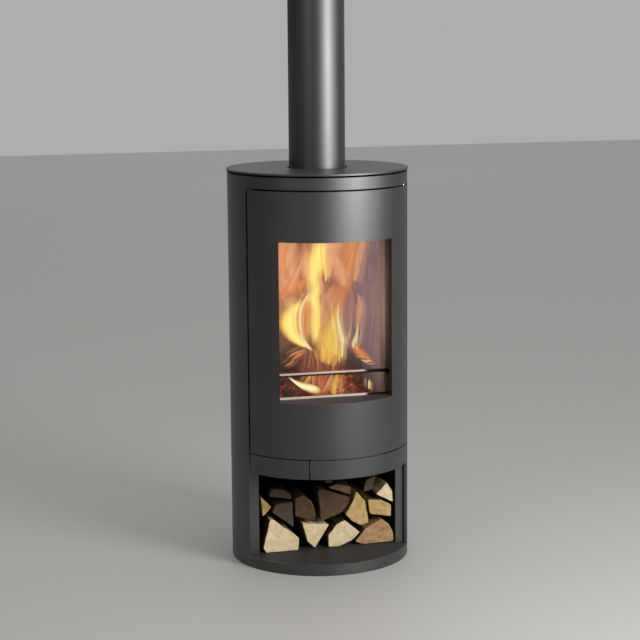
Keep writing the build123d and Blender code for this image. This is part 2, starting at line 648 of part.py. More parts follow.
# ---------------------------------------------------------------- firewood
# Split logs stacked end on. Each outline is the log's front end, as (x, z) corners.
LOGS_BOTTOM = (
    ((-182, 44), (-162, 120), (-152, 121), (-120, 94), (-79, 64), (-82, 30.3), (-173, 30.3)),
    ((-70, 101), (6, 94), (-36, 30.3), (-58, 50)),
    ((0, 32), (-1, 66), (22, 95), (46, 105), (91, 66), (68, 44), (32, 30.3)),
    ((76, 40), (104, 73), (153, 98), (174, 82), (185, 57), (185, 33), (100, 30.3)),
)
LOGS_MIDDLE = (
    ((-184, 186), (-153, 153), (-178, 128)),
    ((-152, 137), (-141, 158), (-93, 162), (-92, 91), (-113, 108)),
    ((-89, 171), (-65, 181), (-41, 158), (-31, 130), (-34, 104), (-89, 122)),
    ((-25, 188), (-9, 190), (64, 164), (60, 147), (40, 122), (-17, 103)),
    ((50, 118), (73, 158), (81, 181), (108, 150), (117, 90), (93, 85), (68, 98)),
    ((113, 157), (147, 154), (180, 136), (180, 102), (118, 114)),
)
LOGS_TOP = (
    ((-160, 180), (-149, 201), (-121, 198), (-97, 184), (-95, 167)),
    ((3, 194), (32, 204), (70, 192), (67, 170)),
    ((168, 200), (183, 177), (185, 142), (136, 168)),
    ((104, 172), (113, 206), (142, 215), (131, 176)),
)
LOG_FRONT = -92.0


def log_pile(outlines, lengths, name):
    """One layer of logs, each a prism of its own length."""
    with BuildPart() as pile:
        for outline, (front, length) in zip(outlines, lengths):
            with BuildSketch(Plane.XZ.offset(-LOG_FRONT - front)):
                with BuildLine():
                    Polyline(*outline, close=True)
                make_face()
            extrude(amount=-length)
    save(pile.part, name)


log_pile(LOGS_BOTTOM, ((0, 205), (6, 198), (2, 210), (5, 200)), "firewood_bottom")
log_pile(LOGS_MIDDLE, ((8, 190), (14, 196), (10, 205), (9, 200), (4, 208), (5, 195)), "firewood_middle")
log_pile(LOGS_TOP, ((20, 180), (16, 190), (6, 205), (22, 180)), "firewood_top")

# Three charred logs on the grate, lying across the firebox.
FIRE_LOGS = (
    (-70, -18, 437, 482, -118, 92),
    (-8, 42, 437, 486, -96, 122),
    (48, 90, 437, 492, -110, 106),
)
with BuildPart() as fire_logs:
    for y0, y1, z0, z1, x0, x1 in FIRE_LOGS:
        block(x0, y0, z0, x1, y1, z1)
    chamfer(fire_logs.edges().filter_by(Axis.X), length=12)
save(fire_logs.part, "fire_logs")
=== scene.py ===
import math
import random

import bmesh
import bpy
from mathutils import Matrix, Vector, noise


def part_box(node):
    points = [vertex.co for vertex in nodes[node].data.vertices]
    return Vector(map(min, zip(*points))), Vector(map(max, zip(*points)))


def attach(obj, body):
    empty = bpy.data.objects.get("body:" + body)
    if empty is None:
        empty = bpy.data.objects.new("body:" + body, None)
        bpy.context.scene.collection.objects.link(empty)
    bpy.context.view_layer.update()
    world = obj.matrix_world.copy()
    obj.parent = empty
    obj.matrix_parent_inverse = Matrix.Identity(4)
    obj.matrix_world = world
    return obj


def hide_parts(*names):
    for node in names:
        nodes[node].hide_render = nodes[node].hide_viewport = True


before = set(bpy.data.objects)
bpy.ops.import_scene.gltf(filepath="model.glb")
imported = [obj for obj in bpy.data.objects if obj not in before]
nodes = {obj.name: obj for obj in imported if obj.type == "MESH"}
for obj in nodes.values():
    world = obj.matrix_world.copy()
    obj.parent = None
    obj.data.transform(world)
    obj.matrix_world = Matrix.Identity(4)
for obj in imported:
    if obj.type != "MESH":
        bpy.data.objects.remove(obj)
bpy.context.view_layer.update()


# ---------------------------------------------------------------- studio
# The stove stands on a plain pale floor in a soft grey room.
# The eye is at standing height, a little to the left of the front, about 4.8 m off.
def linear(colour):
    """An sRGB hex colour as linear red, green, blue and alpha."""
    parts = [int(colour[i:i + 2], 16) / 255 for i in (1, 3, 5)]
    return [c / 12.92 if c <= 0.04045 else ((c + 0.055) / 1.055) ** 2.4 for c in parts] + [1.0]


def output_of(source):
    """A socket as it is, or the first output that a node has in use."""
    if isinstance(source, bpy.types.NodeSocket):
        return source
    return next(socket for socket in source.outputs if socket.enabled)


def add(tree, kind, inputs=None, stops=None, **settings):
    """Adds one shader node, with its settings, its sockets' values or links, and a ramp's stops."""
    node = tree.nodes.new("ShaderNode" + kind)
    for name, value in settings.items():
        setattr(node, name, value)
    for socket, value in (inputs or {}).items():
        if isinstance(value, (bpy.types.Node, bpy.types.NodeSocket)):
            tree.links.new(output_of(value), node.inputs[socket])
        else:
            node.inputs[socket].default_value = value
    for index, (place, colour) in enumerate(stops or ()):
        ramp = node.color_ramp.elements
        stop = ramp[index] if index < len(ramp) else ramp.new(place)
        stop.position = place
        stop.color = linear(colour)
    return node


def new_material(name, **shader):
    """A material's Principled shader with its constant values, and the outputs that say where a point is."""
    material = bpy.data.materials.new(name)
    material.use_nodes = True
    tree = material.node_tree
    surface = tree.nodes["Principled BSDF"]
    for socket, value in shader.items():
        surface.inputs[socket.replace("_", " ")].default_value = value
    where = add(tree, "TexCoord").outputs
    return material, tree, surface, where


def wire(tree, surface, sockets):
    """Links nodes to the shader's sockets."""
    for socket, source in sockets.items():
        tree.links.new(output_of(source), surface.inputs[socket])


def link(obj):
    bpy.context.scene.collection.objects.link(obj)
    return obj


FLOOR_SIDE = 30.0
floor_mesh = bpy.data.meshes.new("studio_floor")
half = FLOOR_SIDE / 2
floor_mesh.from_pydata(
    [(-half, -half, 0), (half, -half, 0), (half, half, 0), (-half, half, 0)], [], [(0, 1, 2, 3)]
)
studio_floor = link(bpy.data.objects.new("studio_floor", floor_mesh))
# Matt painted screed: a faint soft mottling, no shine.
floor_paint, tree, surface, where = new_material("pale_floor", Roughness=0.55)
spots = add(tree, "TexNoise", {"Vector": where["Generated"], "Scale": 1.5, "Detail": 3.0})
tone = add(tree, "ValToRGB", {"Fac": spots}, stops=((0.3, "#9e9e9d"), (0.7, "#a4a4a3")))
wire(tree, surface, {"Base Color": tone})
floor_mesh.materials.append(floor_paint)

EYE = Vector((-1.1958, -4.6342, 1.4462))
EYE_YAW = 0.2536
EYE_PITCH = 0.15599
EYE_ROLL = -0.00765
ahead = Vector((
    math.sin(EYE_YAW) * math.cos(EYE_PITCH), math.cos(EYE_YAW) * math.cos(EYE_PITCH), -math.sin(EYE_PITCH),
))
right = Vector((math.cos(EYE_YAW), -math.sin(EYE_YAW), 0.0))
up = right.cross(ahead)
right_rolled = right * math.cos(EYE_ROLL) + up * math.sin(EYE_ROLL)
up_rolled = up * math.cos(EYE_ROLL) - right * math.sin(EYE_ROLL)
camera = bpy.data.cameras.new("camera")
camera.lens = 101.14
camera.shift_y = -0.03
camera_holder = link(bpy.data.objects.new("camera", camera))
turned = Matrix((right_rolled, up_rolled, -ahead)).transposed().to_4x4()
camera_holder.matrix_world = Matrix.Translation(EYE) @ turned
bpy.context.scene.camera = camera_holder
bpy.context.scene.view_settings.view_transform = "Standard"


def soft_box(name, place, aim, width, height, power, colour):
    """A rectangular studio lamp at a place, pointed at another."""
    lamp = bpy.data.lights.new(name, "AREA")
    lamp.shape = "RECTANGLE"
    lamp.size = width
    lamp.size_y = height
    lamp.energy = power
    lamp.color = linear(colour)[:3]
    holder = link(bpy.data.objects.new(name, lamp))
    holder.location = place
    holder.rotation_euler = (Vector(aim) - Vector(place)).to_track_quat("-Z", "Y").to_euler()
    return holder


soft_box(
    "window_light", place=(1.36, -2.15, 1.52), aim=(0.0, 0.0, 1.0), width=1.1, height=1.25, power=76,
    colour="#fffcf8",
)
soft_box(
    "warm_return", place=(-2.3, -2.1, 2.0), aim=(0.0, 0.0, 1.1), width=0.9, height=0.9, power=16,
    colour="#cfb8a4",
)
# A wide pale card beside the window lamp that only shows as a sheen in the paint.
sheen_card = soft_box(
    "sheen_card", place=(1.50, -2.10, 1.15), aim=(0.0, 0.0, 1.05), width=3.2, height=0.95, power=56,
    colour="#fbfbfa",
)
sheen_card.visible_diffuse = False
sheen_card.visible_camera = False

# The room's own light: plain pale grey to the eye, bright overhead, dim at the sides, with a paler
# wall behind on the right only.
SEEN_LEVEL = 0.44
LEFT_LEVEL, RIGHT_LEVEL = 0.07, 0.12
OVERHEAD_LEVEL = 0.85
BEHIND_LEVEL = 0.24
world = bpy.data.worlds.new("room")
bpy.context.scene.world = world
world.use_nodes = True
tree = world.node_tree
around = add(tree, "TexCoord")
split = add(tree, "SeparateXYZ", {"Vector": around.outputs["Generated"]})
side = add(
    tree, "MapRange",
    {
        "Value": split.outputs["X"], "From Min": -0.75, "From Max": 0.65, "To Min": LEFT_LEVEL,
        "To Max": RIGHT_LEVEL,
    },
    interpolation_type="SMOOTHSTEP",
)
eye_ray = add(tree, "LightPath")
overhead = add(
    tree, "MapRange",
    {"Value": split.outputs["Z"], "From Min": 0.2, "From Max": 0.8, "To Min": 0.0, "To Max": OVERHEAD_LEVEL},
    interpolation_type="SMOOTHSTEP",
)
behind = add(
    tree, "MapRange",
    {"Value": split.outputs["Y"], "From Min": 0.2, "From Max": 0.9, "To Min": 0.0, "To Max": BEHIND_LEVEL},
    interpolation_type="SMOOTHSTEP",
)
lit = add(tree, "Math", {0: side, 1: overhead}, operation="ADD")
away = add(
    tree, "MapRange", {"Value": split.outputs["X"], "From Min": -0.4, "From Max": 0.2},
    interpolation_type="SMOOTHSTEP",
)
wall = add(tree, "Math", {0: behind, 1: away}, operation="MULTIPLY")
both = add(tree, "Math", {0: lit, 1: wall}, operation="ADD")
level = add(tree, "Mix", {"Factor": eye_ray.outputs["Is Camera Ray"], "A": both, "B": SEEN_LEVEL})
background = tree.nodes["Background"]
tree.links.new(output_of(level), background.inputs["Strength"])
background.inputs["Color"].default_value = linear("#fbfaf8")


# ---------------------------------------------------------------- painted sheet steel outside
# Casing, door skin, top plate, flue pipe, drawer front, handle panel, window surround, posts, store floor.
# Rolled and folded 2 to 3 mm steel, sprayed with heat-resistant silicone paint and baked, anthracite grey.
def give_finish(material, *names):
    """Puts a material on every slot of some of the stove's own parts."""
    for name in names:
        slots = nodes[name].data.materials
        if not slots:
            slots.append(material)
        for index in range(len(slots)):
            slots[index] = material


# Satin silicone paint: a broad soft highlight that is broken up by a very fine orange peel.
PAINT_PEEL = 1 / 0.0016     # droplets 0.4 mm apart, drawn at 1.6 mm so that they show
PAINT_CLOUD = 1 / 0.12      # the sprayer's overlapping passes, 120 mm apart
stove_paint, tree, surface, where = new_material("satin_stove_paint", Roughness=0.38, Specular_IOR_Level=0.75)
cloud = add(tree, "TexNoise", {"Vector": where["Object"], "Scale": PAINT_CLOUD, "Detail": 3.0})
peel = add(tree, "TexNoise", {"Vector": where["Object"], "Scale": PAINT_PEEL, "Detail": 2.0})
tone = add(tree, "ValToRGB", {"Fac": cloud}, stops=((0.25, "#262626"), (0.75, "#2b2b2b")))
grains = add(
    tree, "MapRange", {"Value": peel, "From Min": 0.3, "From Max": 0.7, "To Min": 0.93, "To Max": 1.07},
)
shade = add(tree, "VectorMath", {0: tone, "Scale": grains}, operation="SCALE")
sheen = add(
    tree, "MapRange", {"Value": cloud, "From Min": 0.3, "From Max": 0.7, "To Min": 0.37, "To Max": 0.41},
    name="sheen",
)
bumps = add(tree, "Bump", {"Height": peel, "Strength": 0.12, "Distance": 0.0003})
wire(tree, surface, {"Base Color": shade, "Roughness": sheen, "Normal": bumps})
give_finish(
    stove_paint, "casing_shell", "door_skin", "top_plate", "flue_pipe", "drawer_front", "handle_panel",
    "front_post_left", "front_post_right",
)

# The same paint gone dull: the logs scuff it on the floor of their store, and the heat takes its shine
# round the window.
scuffed_paint = stove_paint.copy()
scuffed_paint.name = "scuffed_stove_paint"
scuffed_paint.node_tree.nodes["Principled BSDF"].inputs["Specular IOR Level"].default_value = 0.3
dull = scuffed_paint.node_tree.nodes["sheen"].inputs
dull["To Min"].default_value, dull["To Max"].default_value = 0.62, 0.78
give_finish(scuffed_paint, "store_floor", "window_surround")


# ---------------------------------------------------------------- blackened steel inside
# Liner and ceiling of the wood store, inner frames, firebox welded from 4 mm plate, air box and ash chute.
# Brushed over with matt black paint, with dusty patches.
BLACK_GRAIN = 1 / 0.003     # brush and dust grain
black_paint, tree, surface, where = new_material("matt_black_paint", Roughness=0.75, Specular_IOR_Level=0.3)
grain = add(tree, "TexNoise", {"Vector": where["Object"], "Scale": BLACK_GRAIN, "Detail": 4.0})
patch = add(tree, "TexNoise", {"Vector": where["Object"], "Scale": 14.0, "Detail": 5.0})
tone = add(tree, "ValToRGB", {"Fac": patch}, stops=((0.3, "#121211"), (0.72, "#1f1e1c")))
bumps = add(tree, "Bump", {"Height": grain, "Strength": 0.25, "Distance": 0.0005})
wire(tree, surface, {"Base Color": tone, "Normal": bumps})
give_finish(
    black_paint, "base_plate", "support_ring", "store_liner", "store_ceiling", "top_frame", "top_spacers",
    "flue_collar", "firebox_body", "firebox_front", "air_box", "ash_chute", "smoke_deflector",
    "air_wash_plate", "air_intake_spigot", "air_lever", "door_frame", "door_cap_bottom", "door_cap_top",
)


# ---------------------------------------------------------------- bright steel
# Log guard, strip under the glass, latch roller and pins: ground stainless steel.
# The belt leaves fine lines along each bar, and heat has tinted it straw.
GRIND_LINE = 1 / 0.0006     # belt lines 0.1 mm apart, drawn at 0.6 mm
stainless, tree, surface, where = new_material("ground_stainless_steel", Metallic=1.0, Roughness=0.3)
along = add(tree, "Mapping", {"Vector": where["Object"], "Scale": (0.03, 0.03, 1.0)})
lines = add(tree, "TexNoise", {"Vector": along, "Scale": GRIND_LINE, "Detail": 3.0})
heat = add(tree, "TexNoise", {"Vector": where["Object"], "Scale": 9.0, "Detail": 2.0})
tint = add(tree, "ValToRGB", {"Fac": heat}, stops=((0.35, "#cfc6ba"), (0.7, "#d9c0a4")))
sheen = add(
    tree, "MapRange", {"Value": lines, "From Min": 0.3, "From Max": 0.7, "To Min": 0.24, "To Max": 0.38},
)
bumps = add(tree, "Bump", {"Height": lines, "Strength": 0.1, "Distance": 0.0002})
wire(tree, surface, {"Base Color": tint, "Roughness": sheen, "Normal": bumps})
give_finish(stainless, "latch_roller", "handle_pin", "hinge_pins", "lever_pin")

# The log guard and the strip are the same steel, polished brighter. Painted shade darkens their right-hand
# ends, where the reveal shades them, and the lower half of the guard, which is 9 mm high from 516 mm up.
SHADE_FROM, SHADE_TO = 0.094, 0.104
SHADE_FRAY = 0.012           # how far the edge of the painted shade wanders
GUARD_SHADE_MIDDLE, GUARD_SHADE_HALF = 0.5176, 0.0030
guard_steel, tree, surface, where = new_material("guard_steel_painted_shade", Metallic=1.0, Roughness=0.36)
split = add(tree, "SeparateXYZ", {"Vector": where["Object"]})
along = add(tree, "Mapping", {"Vector": where["Object"], "Scale": (0.03, 0.03, 1.0)})
lines = add(tree, "TexNoise", {"Vector": along, "Scale": GRIND_LINE, "Detail": 3.0})
fray_noise = add(tree, "TexNoise", {"Vector": where["Object"], "Scale": 70.0, "Detail": 4.0})
edge = add(tree, "Math", {0: fray_noise, 1: SHADE_FRAY, 2: split.outputs["X"]}, operation="MULTIPLY_ADD")
right_end_shade = add(tree, "MapRange", {"Value": edge, "From Min": SHADE_FROM, "From Max": SHADE_TO})
under = add(
    tree, "Math", {0: split.outputs["Z"], 1: GUARD_SHADE_MIDDLE, 2: GUARD_SHADE_HALF}, operation="COMPARE",
)
# Painted shade: the steel turns near black on the right-hand ends and on the guard's underside.
dark = add(tree, "Math", {0: right_end_shade, 1: under}, operation="MAXIMUM")
steel = add(tree, "ValToRGB", {"Fac": lines}, stops=((0.3, "#cbbab0"), (0.7, "#dac9bf")))
tone = add(tree, "Mix", {"Factor": dark, "A": steel, "B": linear("#1a1614")}, data_type="RGBA")
bumps = add(tree, "Bump", {"Height": lines, "Strength": 0.1, "Distance": 0.0002})
wire(tree, surface, {"Base Color": tone, "Normal": bumps})
give_finish(guard_steel, "log_guard", "glass_strip")


# ---------------------------------------------------------------- plated steel
# Ash pan, drawer runners, glass clips, screws, hinge, latch and drawer brackets, air damper, heat shield.
# Pressed from zinc plated sheet: a dull bluish grey with cloudy patches.
zinc_plate, tree, surface, where = new_material("zinc_plated_steel", Metallic=1.0, Roughness=0.42)
cells = add(tree, "TexVoronoi", {"Vector": where["Object"], "Scale": 1 / 0.009})
bloom = add(tree, "TexNoise", {"Vector": where["Object"], "Scale": 30.0, "Detail": 4.0})
mixed = add(tree, "Mix", {"Factor": 0.45, "A": bloom, "B": cells})
tone = add(tree, "ValToRGB", {"Fac": mixed}, stops=((0.2, "#8d9194"), (0.7, "#b3b6b8")))
sheen = add(
    tree, "MapRange", {"Value": bloom, "From Min": 0.3, "From Max": 0.7, "To Min": 0.34, "To Max": 0.52},
)
wire(tree, surface, {"Base Color": tone, "Roughness": sheen})
give_finish(
    zinc_plate, "ash_pan", "drawer_runners", "drawer_brackets", "glass_clips", "clip_screws",
    "hinge_brackets", "latch_bracket", "latch_striker", "handle_bracket", "air_damper", "heat_shield",
)


# ---------------------------------------------------------------- hinge bushes
# Two plain bushes in sintered bronze that the door turns on.
# Pressed from powder and oiled: fine pores, a soft brown shine.
bronze, tree, surface, where = new_material("sintered_bronze", Metallic=1.0, Roughness=0.45)
pores = add(tree, "TexNoise", {"Vector": where["Object"], "Scale": 1 / 0.0012, "Detail": 3.0})
tone = add(tree, "ValToRGB", {"Fac": pores}, stops=((0.35, "#6b4a26"), (0.65, "#b18650")))
bumps = add(tree, "Bump", {"Height": pores, "Strength": 0.3, "Distance": 0.0002})
wire(tree, surface, {"Base Color": tone, "Normal": bumps})
give_finish(bronze, "hinge_bushes")


# ---------------------------------------------------------------- fire bed
# A slotted grate in grey cast iron, sand cast and left rough, lies in the hearth.
# Ash has settled in its grain.
cast_iron, tree, surface, where = new_material("sand_cast_iron", Metallic=0.6, Roughness=0.7)
sand = add(tree, "TexNoise", {"Vector": where["Object"], "Scale": 1 / 0.002, "Detail": 5.0})
ash = add(tree, "TexNoise", {"Vector": where["Object"], "Scale": 35.0, "Detail": 5.0})
tone = add(tree, "ValToRGB", {"Fac": ash}, stops=((0.35, "#2b2826"), (0.62, "#3a3532"), (0.75, "#7c736a")))
bumps = add(tree, "Bump", {"Height": sand, "Strength": 0.5, "Distance": 0.0006})
wire(tree, surface, {"Base Color": tone, "Normal": bumps})
give_finish(cast_iron, "grate")


# ---------------------------------------------------------------- firebox lining
# Loose boards about 25 mm thick on the hearth, sides, back and over the fire.
# Pressed vermiculite: pale buff grey with flakes, smoked much darker low down.
FLAKE = 1 / 0.004           # flakes of 2 to 4 mm
SMOKED_BELOW, CLEAN_ABOVE = 0.52, 0.68
vermiculite, tree, surface, where = new_material("pressed_vermiculite", Roughness=0.85)
split = add(tree, "SeparateXYZ", {"Vector": where["Object"]})
flakes = add(tree, "TexVoronoi", {"Vector": where["Object"], "Scale": FLAKE})
smoke = add(tree, "TexNoise", {"Vector": where["Object"], "Scale": 9.0, "Detail": 5.0})
board = add(tree, "ValToRGB", {"Fac": flakes}, stops=((0.1, "#bfb2ae"), (0.6, "#a59a98"), (0.9, "#8f8484")))
low = add(
    tree, "MapRange",
    {
        "Value": split.outputs["Z"], "From Min": SMOKED_BELOW, "From Max": CLEAN_ABOVE, "To Min": 1.6,
        "To Max": 0.0,
    },
)
sooty = add(tree, "Math", {0: low, 1: smoke}, operation="MULTIPLY")
smoked = add(tree, "Mix", {"Factor": sooty, "A": board, "B": linear("#2c2320")}, data_type="RGBA")
bumps = add(tree, "Bump", {"Height": flakes, "Strength": 0.4, "Distance": 0.0008})
wire(tree, surface, {"Base Color": smoked, "Normal": bumps})
give_finish(vermiculite, "lining_left", "lining_right", "lining_back", "hearth_floor", "baffle_plate")


# ---------------------------------------------------------------- rope seals
# A knitted glass fibre rope round the mouth and a flat one behind the pane, dyed black.
# The knit shows as slanting stitches about 3 mm apart.
STITCH = 1 / 0.003
rope, tree, surface, where = new_material("knitted_glass_rope", Roughness=0.9, Sheen_Weight=0.3)
slant = add(tree, "Mapping", {"Vector": where["Object"], "Rotation": (0.7, 0.7, 0.0)})
stitches = add(tree, "TexWave", {"Vector": slant, "Scale": STITCH / 6.3, "Distortion": 1.5, "Detail": 2.0})
fluff = add(tree, "TexNoise", {"Vector": where["Object"], "Scale": 1 / 0.001, "Detail": 3.0})
tone = add(tree, "ValToRGB", {"Fac": stitches.outputs["Fac"]}, stops=((0.2, "#151514"), (0.8, "#3c3b38")))
height = add(tree, "Mix", {"Factor": 0.3, "A": stitches.outputs["Fac"], "B": fluff})
bumps = add(tree, "Bump", {"Height": height, "Strength": 0.8, "Distance": 0.0012})
wire(tree, surface, {"Base Color": tone, "Normal": bumps})
give_finish(rope, "door_seal", "glass_gasket")


# ---------------------------------------------------------------- window glass
# One flat pane of 4 mm ceramic glass, held by clips behind the window.
# Clear with a faint amber cast, and a trace of smoke haze.
glass, tree, surface, where = new_material(
    "ceramic_glass", Transmission_Weight=1.0, Roughness=0.02, IOR=1.54, Alpha=0.3,
)
haze = add(tree, "TexNoise", {"Vector": where["Object"], "Scale": 7.0, "Detail": 4.0})
tint = add(tree, "ValToRGB", {"Fac": haze}, stops=((0.3, "#fbf3ea"), (0.75, "#eadfd6")))
wire(tree, surface, {"Base Color": tint})
give_finish(glass, "glass_pane")
# Light passes through the pane and many thin flames one behind another.
bpy.context.scene.cycles.transparent_max_bounces = 32


# ---------------------------------------------------------------- firewood
# Fourteen split logs of several woods lie end on in the store, in three layers.
# Each was sawn to length and split with an axe: a sawn end, torn fibrous sides, bark on one side.
def log_ends(stack):
    """Front outline, front depth and back depth of each plain log in a stack, from left to right."""
    mesh = bmesh.new()
    mesh.from_mesh(nodes[stack].data)
    bmesh.ops.remove_doubles(mesh, verts=mesh.verts, dist=1e-5)
    bmesh.ops.dissolve_limit(mesh, angle_limit=0.02, verts=mesh.verts, edges=mesh.edges)
    found = []
    for face in mesh.faces:
        if face.normal.y < -0.9:
            outline = [Vector((v.co.x, v.co.z)) for v in face.verts]
            front = face.verts[0].co.y
            back = max(e.other_vert(v).co.y for v in face.verts for e in v.link_edges)
            found.append((outline, front, back))
    mesh.free()
    return sorted(found, key=lambda log: sum(p.x for p in log[0]) / len(log[0]))


LOG_STEP = 0.0026           # spacing of the points round an outline
LOG_RINGS = 30              # rows of points from the front end to the back
END_ROWS = (0.0012, 0.0035, 0.007, 0.012, 0.018, 0.026, 0.036, 0.05)


def log_outline(corners, seed, bark_side, bark_reach):
    """Points round a log with worn corners and torn edges, and how much each one is bark, 0 to 1."""
    points, bark = [], []
    area = sum(a.x * b.y - b.x * a.y for a, b in zip(corners, corners[1:] + corners[:1]))
    for a, b in zip(corners, corners[1:] + corners[:1]):
        run = b - a
        outward = Vector((run.y, -run.x)).normalized() * (1 if area > 0 else -1)
        turn = abs((math.degrees(math.atan2(outward.y, outward.x)) - bark_side + 180) % 360 - 180)
        steps = max(2, round(run.length / LOG_STEP))
        for k in range(steps):
            points.append(a + run * (k / steps))
            bark.append(1.0 if turn < bark_reach else 0.0)
    for _ in range(3):
        points = [
            points[i] * 0.5 + (points[i - 1] + points[(i + 1) % len(points)]) * 0.25
            for i in range(len(points))
        ]
    middle = sum(points, Vector((0.0, 0.0))) / len(points)
    torn = []
    for point, on_bark in zip(points, bark):
        inward = (middle - point).normalized()
        wander = noise.noise(Vector((point.x * 45, point.y * 45, seed))) * 0.5 + 0.5
        tear = noise.noise(Vector((point.x * 240, point.y * 240, seed + 9))) * 0.5 + 0.5
        torn.append(point + inward * (0.0014 * wander - 0.0006 + (0.0004 if on_bark else 0.0012) * tear))
    return torn, bark, middle


def make_log(name, corners, front, back, seed, bark_side, bark_reach, pith, tilt, material):
    """A log as one closed mesh; each point knows how far the tree's heart is and if it is bark."""
    outline, bark, middle = log_outline(corners, seed, bark_side, bark_reach)
    count = len(outline)
    heart = middle + Vector(pith)
    coords, rings, barks, faces = [], [], [], []

    def put(point, depth, on_bark):
        coords.append((point.x, depth, point.y))
        rings.append((point - heart).length * 1000)
        barks.append(on_bark)
        return len(coords) - 1

    def front_depth(point):
        lean = (point.x - middle.x) * tilt[0] + (point.y - middle.y) * tilt[1]
        spread = 0.045 * (abs(tilt[0]) + abs(tilt[1]))
        rough = noise.fractal(Vector((point.x * 110, point.y * 110, seed * 3)), 0.6, 2.0, 4)
        saw = math.sin((point.x * 0.5 + point.y) * 2200 + 2 * rough)
        return front + lean + spread + 0.0012 + 0.0009 * rough + 0.00015 * saw

    rows = []
    for row in range(LOG_RINGS + 1):
        share = (row / LOG_RINGS) ** 1.5
        ring = []
        for i, point in enumerate(outline):
            start = front_depth(point) + 0.0007
            depth = start + (back - 0.001 - start) * share
            inward = (middle - point).normalized()
            fibre = noise.noise(Vector((point.x * 330, depth * 14, point.y * 330 + seed))) * 0.5 + 0.5
            sway = noise.noise(Vector((point.x * 30, depth * 9, point.y * 30 + seed))) * 0.5 + 0.5
            pull = (0.0012 * fibre + 0.0014 * sway) * min(1.0, share * 12)
            ring.append(put(point + inward * pull, depth, bark[i]))
        rows.append(ring)
    for lower, upper in zip(rows, rows[1:]):
        for i in range(count):
            j = (i + 1) % count
            faces.append((lower[i], lower[j], upper[j], upper[i]))
    for side, depth_of in ((0, front_depth), (-1, lambda point: back - 0.0008)):
        edge = rows[side]
        for inset in END_ROWS:
            ring = []
            for i, point in enumerate(outline):
                reach = (middle - point).length
                moved = point + (middle - point) * min(0.94, inset / reach)
                ring.append(put(moved, depth_of(moved), bark[i] if inset < 0.003 else 0.0))
            for i in range(count):
                j = (i + 1) % count
                if side == 0:
                    faces.append((edge[i], ring[i], ring[j], edge[j]))
                else:
                    faces.append((edge[i], edge[j], ring[j], ring[i]))
            edge = ring
        centre = put(middle, depth_of(middle), 0.0)
        for i in range(count):
            j = (i + 1) % count
            faces.append((edge[i], centre, edge[j]) if side == 0 else (edge[i], edge[j], centre))
    mesh = bpy.data.meshes.new(name)
    mesh.from_pydata(coords, [], faces)
    fix = bmesh.new()
    fix.from_mesh(mesh)
    bmesh.ops.recalc_face_normals(fix, faces=fix.faces)
    fix.to_mesh(mesh)
    fix.free()
    mesh.attributes.new("ring_mm", "FLOAT", "POINT").data.foreach_set("value", rings)
    mesh.attributes.new("bark", "FLOAT", "POINT").data.foreach_set("value", barks)
    mesh.shade_smooth()
    mesh.materials.append(material)
    return link(bpy.data.objects.new(name, mesh))


